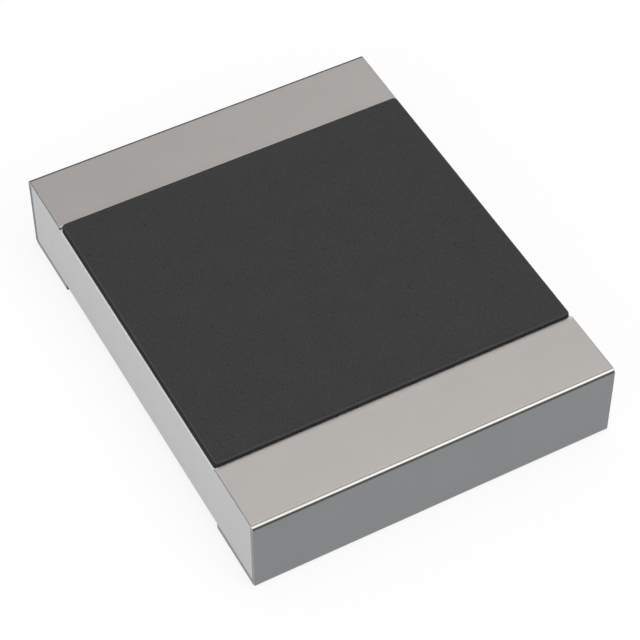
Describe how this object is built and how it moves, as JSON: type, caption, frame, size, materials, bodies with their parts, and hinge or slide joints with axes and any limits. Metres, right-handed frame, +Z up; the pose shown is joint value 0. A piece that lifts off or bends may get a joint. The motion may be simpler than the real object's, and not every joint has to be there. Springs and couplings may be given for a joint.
{
  "type": "chip resistor",
  "caption": "Flat rectangular chip resistor: pale ceramic block, black cover coat on top, plated metal terminations wrapped over, round and under each end.",
  "frame": {"origin": "centre of the part's footprint, on the plane that the solderable ends rest on", "axes": "+X across the width, +Y along the length from the near end to the far end, +Z up out of the board"},
  "size_m": [0.0024, 0.0032, 0.0006],
  "materials": {
    "alumina": "fine matte, fired",
    "printed_silver": "fired silver paste, matte",
    "ruthenium_film": "fired resistive paste, matte",
    "lead_glass": "fired glass, glossy",
    "black_epoxy": "matte cover coat with a fine grain",
    "end_silver": "cured silver paste, matte",
    "nickel": "plated, satin",
    "matte_tin": "plated tin, satin with a fine grain"
  },
  "bodies": {
    "root": {"ceramic_substrate": "alumina", "top_electrode_near": "printed_silver", "top_electrode_far": "printed_silver", "bottom_electrode_near": "printed_silver", "bottom_electrode_far": "printed_silver", "resistive_film": "ruthenium_film", "primary_glass": "lead_glass", "overcoat": "black_epoxy", "end_electrode_near": "end_silver", "end_electrode_far": "end_silver", "nickel_barrier_near": "nickel", "nickel_barrier_far": "nickel", "tin_plating_near": "matte_tin", "tin_plating_far": "matte_tin"}
  },
  "joints": []
}
